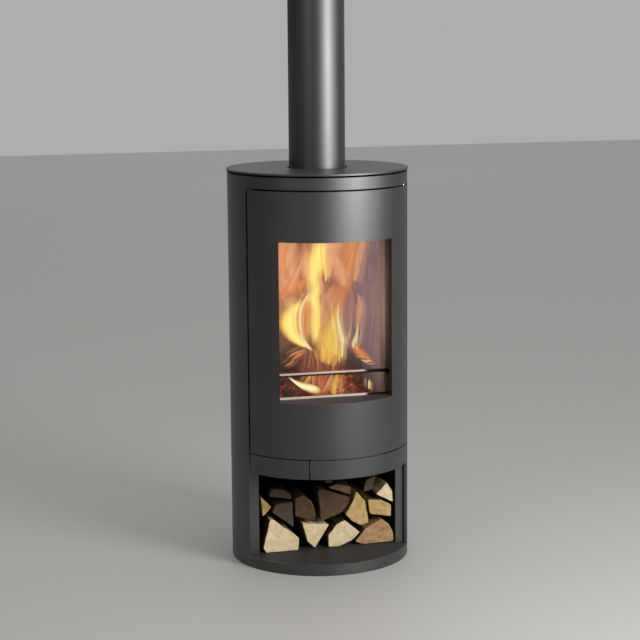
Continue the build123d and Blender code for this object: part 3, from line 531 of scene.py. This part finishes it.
def split_wood(name, pale, deep, crack, bark_dark, bark_light, year=3.2):
    """Air-dry split wood: year rings and cracks on the sawn end, long fibres on the sides, bark outside."""
    material, tree, surface, where = new_material(name, Roughness=0.8, Specular_IOR_Level=0.3)
    ring = add(tree, "Attribute", attribute_name="ring_mm")
    bark_mark = add(tree, "Attribute", attribute_name="bark")
    # Year rings, a few millimetres apart, that wander with the growth of the tree.
    wander = add(tree, "TexNoise", {"Vector": where["Object"], "Scale": 22.0, "Detail": 3.0})
    bent = add(tree, "Math", {0: wander, 1: 9.0, 2: ring.outputs["Fac"]}, operation="MULTIPLY_ADD")
    turns = add(tree, "Math", {0: bent, 1: 2 * math.pi / year}, operation="MULTIPLY")
    wave = add(tree, "Math", {0: turns}, operation="SINE")
    year_line = add(
        tree, "MapRange", {"Value": wave, "From Min": -0.2, "From Max": 1.0, "To Min": 0.0, "To Max": 0.42},
    )
    # Fibres: long streaks down the log, seen end on as fine dots.
    stretched = add(tree, "Mapping", {"Vector": where["Object"], "Scale": (1.0, 0.05, 1.0)})
    fibres = add(
        tree, "TexNoise", {"Vector": stretched, "Scale": 1 / 0.0022, "Detail": 4.0, "Roughness": 0.7},
    )
    blotch = add(
        tree, "TexNoise", {"Vector": where["Object"], "Scale": 48.0, "Detail": 5.0, "Roughness": 0.62},
    )
    fibre_mix = add(
        tree, "MapRange",
        {"Value": fibres, "From Min": 0.35, "From Max": 0.75, "To Min": 0.0, "To Max": 0.35},
    )
    blotch_mix = add(
        tree, "MapRange", {"Value": blotch, "From Min": 0.38, "From Max": 0.72, "To Min": 0.0, "To Max": 0.6},
    )
    both = add(tree, "Math", {0: year_line, 1: fibre_mix}, operation="ADD")
    depth = add(tree, "Math", {0: both, 1: blotch_mix}, operation="ADD", use_clamp=True)
    wood = add(tree, "Mix", {"Factor": depth, "A": linear(pale), "B": linear(deep)}, data_type="RGBA")
    # Drying cracks: thin dark lines.
    checks = add(
        tree, "TexVoronoi", {"Vector": where["Object"], "Scale": 38.0, "Randomness": 1.0},
        feature="DISTANCE_TO_EDGE",
    )
    check_line = add(
        tree, "MapRange",
        {"Value": checks, "From Min": 0.006, "From Max": 0.03, "To Min": 0.5, "To Max": 0.0},
    )
    patchy = add(tree, "Math", {0: check_line, 1: blotch_mix}, operation="MULTIPLY")
    cracked = add(tree, "Mix", {"Factor": patchy, "A": wood, "B": linear(crack)}, data_type="RGBA")
    # Bark: furrowed plates, dark in the furrows.
    furrows = add(tree, "TexVoronoi", {"Vector": stretched, "Scale": 1 / 0.006}, feature="DISTANCE_TO_EDGE")
    plates = add(tree, "ValToRGB", {"Fac": furrows}, stops=((0.05, bark_dark), (0.4, bark_light)))
    bark_edge = add(tree, "MapRange", {"Value": bark_mark.outputs["Fac"], "From Min": 0.3, "From Max": 0.7})
    whole = add(tree, "Mix", {"Factor": bark_edge, "A": cracked, "B": plates}, data_type="RGBA")
    relief = add(tree, "Mix", {"Factor": bark_edge, "A": fibres, "B": furrows})
    bumps = add(tree, "Bump", {"Height": relief, "Strength": 0.5, "Distance": 0.001})
    wire(tree, surface, {"Base Color": whole, "Normal": bumps})
    return material


birch = split_wood("split_birch_fresh", "#dfd1b1", "#bfa880", "#7a5c38", "#2a1d14", "#5d4632")
beech = split_wood("split_beech", "#b99a74", "#7d5836", "#4a301c", "#2b1f16", "#5c4631")
# Alder and oak are their own wood drawn darker, and the dark beech is a darker copy of the beech: painted
# shade for the logs that lie in the shadow of the band over the store.
shaded_alder = split_wood("alder_with_painted_shade", "#5f482c", "#3a2716", "#2b1a10", "#30251c", "#8a7357")
shaded_beech = split_wood("beech_with_painted_shade", "#8a7350", "#5a4228", "#33220f", "#261c14", "#4d3b28")
shaded_oak = split_wood("oak_with_painted_shade", "#564a39", "#30281d", "#1f1711", "#231d16", "#4e4534")
honey_ash = split_wood("split_ash", "#c9b07a", "#8f7342", "#4d371c", "#2e2216", "#6a5335", year=4.5)

# One row a log, from left to right: bark side (degrees from the right, anticlockwise) and reach, heart
# of the tree from the log's middle in metres, lean of the sawn end, and wood.
LOGS = {
    "firewood_bottom": (
        (180, 50, (0.05, -0.06), (0.05, 0.02), birch),
        (205, 32, (0.05, 0.05), (-0.04, 0.05), birch),
        (150, 45, (0.06, -0.06), (0.03, -0.03), birch),
        (139, 20, (0.01, -0.08), (-0.03, 0.04), beech),
    ),
    "firewood_middle": (
        (200, 10, (-0.04, 0.05), (0.05, 0.0), honey_ash),
        (125, 40, (0.03, -0.06), (0.02, 0.05), shaded_oak),
        (20, 60, (-0.05, 0.01), (0.04, -0.03), shaded_alder),
        (115, 30, (0.02, -0.07), (-0.03, 0.04), shaded_alder),
        (0, 10, (-0.05, 0.04), (0.04, 0.03), honey_ash),
        (95, 25, (0.0, -0.08), (0.02, -0.04), honey_ash),
    ),
    "firewood_top": (
        (90, 50, (0.0, -0.06), (0.03, 0.02), shaded_oak),
        (95, 40, (0.01, -0.07), (-0.02, 0.03), shaded_beech),
        (170, 40, (0.05, 0.0), (0.04, 0.02), shaded_oak),
        (60, 30, (-0.06, -0.03), (0.03, -0.02), birch),
    ),
}
log_number = 0
for stack, rows in LOGS.items():
    for (corners, front, back), (side, reach, pith, tilt, wood) in zip(log_ends(stack), rows):
        log_number += 1
        log = make_log(
            f"split_log_{log_number:02d}", corners, front, back, log_number * 1.7, side, reach, pith, tilt,
            wood,
        )
        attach(log, "root")
        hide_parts(stack)


# ---------------------------------------------------------------- burning logs
# Three logs burn on the grate. The fire has rounded them and turned them to charcoal.
# Charcoal cracks across and along the grain into small blocks, and glows in the cracks.
charcoal, tree, surface, where = new_material("glowing_charcoal", Roughness=0.9, Emission_Strength=1.3)
blocks = add(tree, "TexVoronoi", {"Vector": where["Object"], "Scale": 1 / 0.013}, feature="DISTANCE_TO_EDGE")
heat = add(tree, "TexNoise", {"Vector": where["Object"], "Scale": 26.0, "Detail": 4.0})
dust = add(tree, "TexNoise", {"Vector": where["Object"], "Scale": 240.0, "Detail": 4.0})
skin = add(tree, "ValToRGB", {"Fac": dust}, stops=((0.4, "#17110e"), (0.62, "#3a2a23"), (0.75, "#8b7e76")))
seam = add(
    tree, "MapRange", {"Value": blocks, "From Min": 0.0, "From Max": 0.13, "To Min": 1.0, "To Max": 0.0},
)
hot = add(tree, "MapRange", {"Value": heat, "From Min": 0.42, "From Max": 0.66})
both = add(tree, "Math", {0: seam, 1: hot}, operation="MULTIPLY")
glow = add(
    tree, "ValToRGB", {"Fac": both},
    stops=((0.05, "#000000"), (0.35, "#7a1c08"), (0.65, "#e0521c"), (0.95, "#ffc46a")),
)
bumps = add(tree, "Bump", {"Height": blocks, "Strength": 0.8, "Distance": 0.002})
wire(tree, surface, {"Base Color": skin, "Emission Color": glow, "Normal": bumps})

CHAR_AROUND = 64
CHAR_ALONG = 96
fire_low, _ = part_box("fire_logs")
hearth_top = fire_low.z
BURNING = (
    ("burning_log_front", -0.117, 0.091, -0.044, 0.0245, 0.021, 3),
    ("burning_log_middle", -0.095, 0.121, 0.017, 0.0245, 0.023, 5),
    ("burning_log_back", -0.109, 0.105, 0.069, 0.0205, 0.026, 8),
)
for name, start, end, depth, half_wide, half_high, seed in BURNING:
    coords, faces = [], []
    for row in range(CHAR_ALONG + 1):
        share = row / CHAR_ALONG
        x = start + (end - start) * share
        taper = math.sqrt(max(0.0, 1 - abs(2 * share - 1) ** 14))
        bow = 0.002 * math.sin(share * math.pi * 2 + seed)
        for k in range(CHAR_AROUND):
            turn = 2 * math.pi * k / CHAR_AROUND
            side, rise = math.cos(turn), math.sin(turn)
            spot = Vector((x * 60, side * 1.6 + seed, rise * 1.6))
            knob = noise.noise(spot) * 0.09
            cell = noise.voronoi(Vector((x * 95, side * 3.2, rise * 3.2 + seed)))[0]
            crack = max(0.0, 0.10 - (cell[1] - cell[0])) * 0.9
            size = taper * (0.93 + knob - crack)
            coords.append((
                x, depth + bow + half_wide * size * side, hearth_top + half_high + half_high * size * rise,
            ))
    for row in range(CHAR_ALONG):
        for k in range(CHAR_AROUND):
            a, b = row * CHAR_AROUND + k, row * CHAR_AROUND + (k + 1) % CHAR_AROUND
            faces.append((a, b, b + CHAR_AROUND, a + CHAR_AROUND))
    faces.append(tuple(range(CHAR_AROUND)))
    faces.append(tuple(CHAR_ALONG * CHAR_AROUND + k for k in range(CHAR_AROUND)))
    mesh = bpy.data.meshes.new(name)
    mesh.from_pydata(coords, [], faces)
    fix = bmesh.new()
    fix.from_mesh(mesh)
    bmesh.ops.remove_doubles(fix, verts=fix.verts, dist=1e-5)
    bmesh.ops.recalc_face_normals(fix, faces=fix.faces)
    fix.to_mesh(mesh)
    fix.free()
    mesh.shade_smooth()
    mesh.materials.append(charcoal)
    burning = link(bpy.data.objects.new(name, mesh))
    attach(burning, "root")
    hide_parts("fire_logs")


# ---------------------------------------------------------------- ember bed
# Broken charcoal lies round the logs on the grate, from pea to cherry size.
# It glows red through a skin of ash, most on the left, where the draught reaches it.
ember, tree, surface, where = new_material("embers", Roughness=0.95, Emission_Strength=1.0)
heat = add(tree, "TexNoise", {"Vector": where["Object"], "Scale": 70.0, "Detail": 4.0})
ash = add(tree, "TexNoise", {"Vector": where["Object"], "Scale": 260.0, "Detail": 3.0})
skin = add(tree, "ValToRGB", {"Fac": ash}, stops=((0.4, "#1c1310"), (0.7, "#5b4a42")))
glow = add(
    tree, "ValToRGB", {"Fac": heat},
    stops=((0.4, "#100201"), (0.52, "#8e220d"), (0.62, "#e35d22"), (0.75, "#ffb35c")),
)
split = add(tree, "SeparateXYZ", {"Vector": where["Object"]})
draught = add(
    tree, "MapRange",
    {"Value": split.outputs["X"], "From Min": -0.06, "From Max": 0.05, "To Min": 1.0, "To Max": 0.2},
    interpolation_type="SMOOTHSTEP",
)
wire(tree, surface, {"Base Color": skin, "Emission Color": glow, "Emission Strength": draught})
EMBER_COUNT = 150
dice = random.Random(41)
bed = bmesh.new()
for _ in range(EMBER_COUNT):
    size = dice.uniform(0.004, 0.010)
    place = Vector((dice.uniform(-0.138, 0.138), dice.uniform(-0.112, 0.088), hearth_top + size * 0.75))
    shape = bmesh.ops.create_icosphere(bed, subdivisions=2, radius=size)
    stretch = Vector((dice.uniform(0.8, 1.25), dice.uniform(0.8, 1.25), dice.uniform(0.65, 0.95)))
    for vert in shape["verts"]:
        lump = 1 + 0.35 * noise.noise(vert.co * 130 + place * 50)
        vert.co = place + Vector((vert.co.x * stretch.x, vert.co.y * stretch.y, vert.co.z * stretch.z)) * lump
mesh = bpy.data.meshes.new("ember_bed")
bed.to_mesh(mesh)
bed.free()
mesh.shade_smooth()
mesh.materials.append(ember)
ember_bed = link(bpy.data.objects.new("ember_bed", mesh))
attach(ember_bed, "root")


# ---------------------------------------------------------------- flames
# Burning wood gas rises in thin glowing sheets that fold, split and fade towards their edges.
# Nearest the logs it is pale yellow, higher up orange and then a salmon haze.
def flame_gas(name, core, rim, solid, streaks=0.5):
    """Glowing gas: one colour in the middle and another at the rim, thinning out at the edges."""
    material, tree, surface, where = new_material(
        name, Base_Color=(0, 0, 0, 1), Roughness=1.0, Specular_IOR_Level=0.0, Emission_Strength=1.15,
    )
    across = add(tree, "Attribute", attribute_name="across")
    along = add(tree, "Attribute", attribute_name="along")
    # Streaks rise with the gas, 10 mm wide and 80 mm long.
    rising = add(tree, "Mapping", {"Vector": where["Object"], "Scale": (1.0, 1.0, 0.13)})
    streak = add(tree, "TexNoise", {"Vector": rising, "Scale": 95.0, "Detail": 3.0, "Distortion": 0.6})
    off = add(tree, "Math", {0: across.outputs["Fac"]}, operation="ABSOLUTE")
    ragged = add(tree, "Math", {0: streak, 1: streaks, 2: off}, operation="MULTIPLY_ADD")
    colour = add(
        tree, "MapRange", {"Value": ragged, "From Min": 0.2, "From Max": 1.15},
        interpolation_type="SMOOTHSTEP",
    )
    mixed = add(tree, "Mix", {"Factor": colour, "A": linear(core), "B": linear(rim)}, data_type="RGBA")
    edge = add(
        tree, "MapRange",
        {"Value": ragged, "From Min": 0.78, "From Max": 1.28, "To Min": solid, "To Max": 0.0},
        interpolation_type="SMOOTHSTEP",
    )
    foot = add(
        tree, "MapRange", {"Value": along.outputs["Fac"], "From Min": 0.0, "From Max": 0.12},
        interpolation_type="SMOOTHSTEP",
    )
    tip = add(
        tree, "MapRange",
        {"Value": along.outputs["Fac"], "From Min": 0.8, "From Max": 1.0, "To Min": 1.0, "To Max": 0.0},
        interpolation_type="SMOOTHSTEP",
    )
    ends = add(tree, "Math", {0: foot, 1: tip}, operation="MULTIPLY")
    veil = add(tree, "Math", {0: edge, 1: ends}, operation="MULTIPLY")
    wire(tree, surface, {"Emission Color": mixed, "Alpha": veil})
    return material


yellow_gas = flame_gas("flame_yellow", "#fff08c", "#f0b95c", 1.0)
gold_gas = flame_gas("flame_gold", "#e6c35c", "#cf8f4a", 0.92)
orange_gas = flame_gas("flame_orange", "#d98a4e", "#c07048", 0.85)
peach_gas = flame_gas("flame_peach", "#f2b682", "#d98f68", 0.72)
rust_gas = flame_gas("flame_rust", "#8e5444", "#4a2c2a", 0.62)
bed_gas = flame_gas("flame_bed", "#b8623a", "#6a2a1c", 0.8, streaks=0.9)
white_gas = flame_gas("flame_white", "#fbeeb8", "#f0c47c", 1.0, streaks=0.25)


def smooth_between(values, share):
    """A value on a smooth curve through evenly spaced values, at a share of its length."""
    spot = share * (len(values) - 1)
    k = min(int(spot), len(values) - 2)
    t = spot - k
    before, a, b, after = values[max(k - 1, 0)], values[k], values[k + 1], values[min(k + 2, len(values) - 1)]
    bend = 2 * before - 5 * a + 4 * b - after
    twist = 3 * a - before - 3 * b + after
    return 0.5 * (2 * a + (b - before) * t + bend * t * t + twist * t ** 3)


FLAME_ALONG = 48
FLAME_ACROSS = 12
FLAME_SPREAD = 1.15         # the thin glow round a tongue is this much wider than its body


def make_flame(name, material, depth, path):
    """A tongue of flame at a depth; its path is a row of (x, height, half width), all in millimetres."""
    xs, zs, halves = ([value / 1000 for value in row] for row in zip(*path))
    coords, across, along, faces = [], [], [], []
    seed = sum(map(ord, name)) % 97
    for row in range(FLAME_ALONG + 1):
        share = row / FLAME_ALONG
        x, z = smooth_between(xs, share), smooth_between(zs, share)
        ahead_share, back_share = min(1.0, share + 0.01), max(0.0, share - 0.01)
        way = Vector((
            smooth_between(xs, ahead_share) - smooth_between(xs, back_share),
            smooth_between(zs, ahead_share) - smooth_between(zs, back_share),
        )).normalized()
        wide = FLAME_SPREAD * max(0.0008, smooth_between(halves, share))
        for k in range(FLAME_ACROSS + 1):
            u = 2 * k / FLAME_ACROSS - 1
            curl = 0.35 * wide * u * u
            billow = 0.006 * noise.noise(Vector((x * 12, z * 9, seed + u)))
            ragged = 1 + 0.12 * noise.noise(Vector((u * 2, z * 40, seed)))
            coords.append((
                x + way.y * u * wide * ragged,
                depth / 1000 + curl + billow,
                z - way.x * u * wide * ragged,
            ))
            across.append(u)
            along.append(share)
    step = FLAME_ACROSS + 1
    for row in range(FLAME_ALONG):
        for k in range(FLAME_ACROSS):
            a = row * step + k
            faces.append((a, a + 1, a + 1 + step, a + step))
    mesh = bpy.data.meshes.new(name)
    mesh.from_pydata(coords, [], faces)
    mesh.attributes.new("across", "FLOAT", "POINT").data.foreach_set("value", across)
    mesh.attributes.new("along", "FLOAT", "POINT").data.foreach_set("value", along)
    mesh.shade_smooth()
    mesh.materials.append(material)
    flame = link(bpy.data.objects.new(name, mesh))
    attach(flame, "root")


# One row a tongue: name, gas, depth in the firebox and path.
FLAMES = (
    ("plume", yellow_gas, -60, (
        (-29, 580, 5), (-25, 610, 11), (-22, 645, 14), (-21, 680, 14), (-25, 710, 16), (-22, 738, 14),
        (-25, 768, 18), (-19, 802, 24), (-15, 832, 20), (-9, 860, 19), (-6, 885, 16),
    )),
    ("plume_lobe", yellow_gas, -62, ((6, 752, 2), (6, 772, 6), (2, 800, 9), (0, 830, 9), (4, 868, 6))),
    ("teardrop", yellow_gas, -66, (
        (-41, 578, 2), (-58, 587, 6), (-75, 601, 13), (-88, 620, 20),
        (-95, 644, 26), (-93, 664, 23), (-83, 682, 15), (-68, 699, 8), (-48, 718, 3),
    )),
    ("teardrop_edge", white_gas, -70, (
        (-36, 574, 2), (-46, 582, 4), (-62, 608, 4), (-68, 650, 4),
        (-64, 687, 4), (-50, 714, 4), (-33, 737, 3),
    )),
    ("lens", orange_gas, -52, (
        (-46, 580, 4), (-52, 605, 13), (-52, 640, 18), (-48, 680, 16), (-38, 712, 9), (-28, 740, 3),
    )),
    ("fan", gold_gas, -48, (
        (24, 528, 26), (22, 548, 36), (20, 571, 38), (20, 598, 34),
        (24, 622, 24), (32, 650, 14), (42, 680, 10), (50, 712, 5),
    )),
    *(
        (
            f"fan_foot_{foot}", gold_gas, -50,
            ((x, z - 8, 3), (x, z + 6, 7), (x + 1, z + 24, 8), (x + 2, z + 44, 4)),
        )
        for foot, (x, z) in enumerate(((-2, 541), (16, 534), (33, 530), (47, 538)), 1)
    ),
    (
        "fan_edge", white_gas, -54,
        ((51, 540, 3), (53, 562, 6), (52, 590, 7), (45, 624, 6), (41, 660, 4), (44, 700, 2)),
    ),
    ("ribbon", orange_gas, -30, (
        (34, 640, 8), (42, 668, 14), (52, 702, 19), (66, 732, 20),
        (76, 760, 17), (83, 792, 13), (90, 825, 8), (96, 860, 4),
    )),
    ("peach_glow", peach_gas, -44, ((60, 735, 5), (56, 755, 15), (50, 778, 17), (44, 802, 12), (40, 826, 5))),
    (
        "right", peach_gas, -40,
        ((97, 600, 2), (99, 628, 6), (103, 655, 10), (106, 680, 12), (103, 703, 6), (96, 722, 2)),
    ),
    ("right_heart", white_gas, -46, ((86, 566, 2), (88, 578, 7), (93, 594, 6), (97, 615, 3), (99, 635, 2))),
    (
        "right_tail", orange_gas, -44,
        ((140, 528, 2), (122, 540, 9), (104, 554, 13), (90, 570, 8), (84, 584, 3)),
    ),
    ("upper_right", peach_gas, -20, (
        (96, 740, 4), (100, 765, 11), (104, 792, 14), (110, 818, 14), (118, 845, 12), (122, 874, 8),
    )),
    (
        "wisp_left", peach_gas, -64,
        ((-99, 726, 3), (-92, 742, 8), (-82, 764, 9), (-70, 786, 7), (-59, 810, 5), (-55, 836, 2)),
    ),
    ("wisp_far_left", orange_gas, -58, (
        (-90, 748, 3), (-98, 768, 6), (-106, 790, 6), (-108, 815, 6), (-104, 842, 6), (-98, 874, 5),
    )),
    ("wisp_inner", peach_gas, -56, ((-40, 752, 4), (-44, 772, 6), (-48, 792, 4), (-52, 812, 2))),
    (
        "shoulder", orange_gas, -50,
        ((-112, 706, 5), (-102, 724, 15), (-84, 738, 22), (-62, 748, 18), (-46, 762, 8), (-38, 782, 3)),
    ),
    ("top_left", peach_gas, 5, ((-92, 772, 8), (-90, 800, 20), (-86, 830, 30), (-80, 872, 36))),
    ("top_middle", peach_gas, -5, ((26, 752, 8), (28, 785, 20), (32, 820, 30), (38, 872, 38))),
    ("top_right", orange_gas, 0, ((72, 770, 6), (80, 800, 16), (90, 830, 22), (98, 874, 26))),
    ("right_tail_edge", white_gas, -46, ((138, 530, 1), (128, 529, 2), (117, 530, 2), (104, 536, 1))),
    (
        "low_left", orange_gas, -70,
        ((-113, 534, 1), (-104, 538, 2), (-94, 541, 4), (-85, 552, 5), (-70, 562, 6), (-50, 574, 4)),
    ),
    (
        "low_left_fork", peach_gas, -72,
        ((-98, 556, 1), (-94, 561, 2), (-82, 567, 3), (-66, 572, 3), (-50, 577, 2)),
    ),
    ("low_left_edge", peach_gas, -74, ((-113, 534, 1), (-102, 537, 2), (-92, 541, 2), (-86, 550, 1))),
    ("low_glow", rust_gas, -40, ((-12, 488, 58), (-8, 520, 66), (0, 552, 60), (6, 590, 40))),
    ("foot_one", rust_gas, -66, ((-66, 512, 8), (-60, 532, 12), (-50, 556, 11), (-42, 586, 5))),
    ("foot_two", orange_gas, -64, ((-19, 512, 2), (-17, 528, 3), (-21, 548, 4), (-27, 578, 3))),
    ("foot_three", orange_gas, -62, ((-44, 518, 1), (-42, 534, 2), (-40, 552, 3), (-37, 578, 2))),
    ("foot_four", orange_gas, -60, ((23, 506, 3), (25, 522, 5), (27, 540, 5), (28, 560, 4))),
    ("foot_five", rust_gas, -58, ((50, 506, 8), (54, 530, 11), (58, 556, 8), (58, 590, 4))),
    ("bed_glow", bed_gas, -80, ((-14, 448, 40), (-12, 480, 42), (-8, 512, 38))),
    ("bed_lick_six", gold_gas, -89, ((-60, 488, 2), (-56, 494, 5), (-50, 502, 5), (-44, 512, 2))),
    (
        "bed_pool", white_gas, -92,
        ((-104, 506, 1), (-92, 496, 3), (-74, 484, 6), (-54, 476, 9), (-34, 470, 9), (-16, 465, 3)),
    ),
    ("bed_lick_one", peach_gas, -88, ((-12, 460, 3), (-4, 474, 6), (6, 492, 5), (17, 508, 2))),
    ("bed_lick_two", gold_gas, -86, ((17, 452, 6), (20, 470, 9), (24, 490, 7), (31, 510, 3))),
    ("bed_lick_three", peach_gas, -88, ((-39, 482, 1), (-38, 492, 3), (-37, 504, 3), (-36, 515, 1))),
    ("bed_lick_four", orange_gas, -84, ((37, 450, 4), (39, 470, 7), (40, 490, 6), (42, 508, 3))),
    ("bed_lick_five", orange_gas, -87, ((-22, 474, 1), (-20, 486, 4), (-20, 500, 3), (-22, 514, 1))),
    ("spark", white_gas, -90, ((116, 460, 1), (117, 469, 4), (117, 479, 4), (116, 490, 1))),
)
for name, gas, depth, path in FLAMES:
    make_flame("flame_" + name, gas, depth, path)


# The haze: thin wide glowing curtains. The salmon one behind the flames is burnt gas that still glows; the
# mauve ones on the right are painted reflection, the room's reflection in the glass drawn as a glow.
HAZE_HIGH = 0.876
HAZE_LOW = 0.45
HAZE_ROWS = 56
HAZE_COLUMNS = 44
HAZE_FOLD = 0.04            # how far a curtain sways, as a share of its width


def make_haze(name, left, right, starts, ends, colours, thickness, low):
    """A curtain between two places on plan; it fades at shares of its width and below a height."""
    coords, across, faces = [], [], []
    for row in range(HAZE_ROWS + 1):
        z = HAZE_LOW + (HAZE_HIGH - HAZE_LOW) * row / HAZE_ROWS
        for column in range(HAZE_COLUMNS + 1):
            share = column / HAZE_COLUMNS
            x, y = left[0] + (right[0] - left[0]) * share, left[1] + (right[1] - left[1]) * share
            fold = HAZE_FOLD * noise.noise(Vector((x * 14, z * 7, y * 14 + thickness * 9)))
            coords.append((x - fold * (right[1] - left[1]), y + fold * (right[0] - left[0]), z))
            across.append(share)
    step = HAZE_COLUMNS + 1
    for row in range(HAZE_ROWS):
        for column in range(HAZE_COLUMNS):
            a = row * step + column
            faces.append((a, a + 1, a + 1 + step, a + step))
    mesh = bpy.data.meshes.new(name)
    mesh.from_pydata(coords, [], faces)
    mesh.attributes.new("across", "FLOAT", "POINT").data.foreach_set("value", across)
    mesh.shade_smooth()
    material, tree, surface, where = new_material(
        name + "_gas", Base_Color=(0, 0, 0, 1), Roughness=1.0, Specular_IOR_Level=0.0, Emission_Strength=1.1,
    )
    split = add(tree, "SeparateXYZ", {"Vector": where["Object"]})
    across = add(tree, "Attribute", attribute_name="across")
    rising = add(tree, "Mapping", {"Vector": where["Object"], "Scale": (1.0, 1.0, 0.35)})
    swirl = add(tree, "TexNoise", {"Vector": rising, "Scale": 17.0, "Detail": 3.0, "Distortion": 1.2})
    colour = add(tree, "ValToRGB", {"Fac": swirl}, stops=colours)
    height = add(
        tree, "MapRange",
        {
            "Value": split.outputs["Z"], "From Min": low[0], "From Max": low[1], "To Min": 0.0,
            "To Max": thickness,
        },
        interpolation_type="SMOOTHSTEP",
    )
    comes = add(
        tree, "MapRange", {"Value": across.outputs["Fac"], "From Min": starts[0], "From Max": starts[1]},
        interpolation_type="SMOOTHSTEP",
    )
    goes = add(
        tree, "MapRange",
        {
            "Value": across.outputs["Fac"], "From Min": ends[0], "From Max": ends[1], "To Min": 1.0,
            "To Max": 0.0,
        },
        interpolation_type="SMOOTHSTEP",
    )
    reach = add(tree, "Math", {0: comes, 1: goes}, operation="MULTIPLY")
    veil = add(tree, "Math", {0: height, 1: reach}, operation="MULTIPLY")
    wire(tree, surface, {"Emission Color": colour, "Alpha": veil})
    mesh.materials.append(material)
    haze_sheet = link(bpy.data.objects.new(name, mesh))
    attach(haze_sheet, "root")


SALMON = ((0.38, "#885044"), (0.5, "#cc8a62"), (0.62, "#eaa880"))
# Mauve and grey mauve: painted reflection of the room in the glass, on the right of the window.
MAUVE_REFLECTION = ((0.32, "#7c6068"), (0.5, "#957678"), (0.68, "#b38f88"))
GREY_MAUVE_REFLECTION = ((0.32, "#6e5a60"), (0.5, "#8a7072"), (0.68, "#a58a84"))
make_haze("flame_haze", (-0.145, 0.03), (0.145, 0.03), (-0.2, -0.1), (0.6, 0.91), SALMON, 0.9, (0.53, 0.68))
make_haze(
    "flame_haze_right", (-0.145, 0.045), (0.145, 0.045), (0.5, 0.74), (1.1, 1.2), MAUVE_REFLECTION, 0.8, (0.47, 0.64),
)
make_haze(
    "flame_haze_side", (0.138, 0.05), (0.138, -0.118), (-0.2, -0.1), (1.1, 1.2), GREY_MAUVE_REFLECTION, 0.7,
    (0.42, 0.60),
)


def fire_light(name, place, power, colour, radius):
    """Light of the fire itself, from inside the flames."""
    lamp = bpy.data.lights.new(name, "POINT")
    lamp.energy = power
    lamp.color = linear(colour)[:3]
    lamp.shadow_soft_size = radius
    holder = link(bpy.data.objects.new(name, lamp))
    holder.location = place
    holder.visible_camera = False
    holder.visible_glossy = False
    holder.visible_transmission = False


fire_light("fire_light_low", (0.05, -0.07, 0.60), 0.7, "#ffc8a8", 0.04)
fire_light("fire_light_high", (-0.02, -0.06, 0.76), 1.0, "#ffd4c4", 0.05)
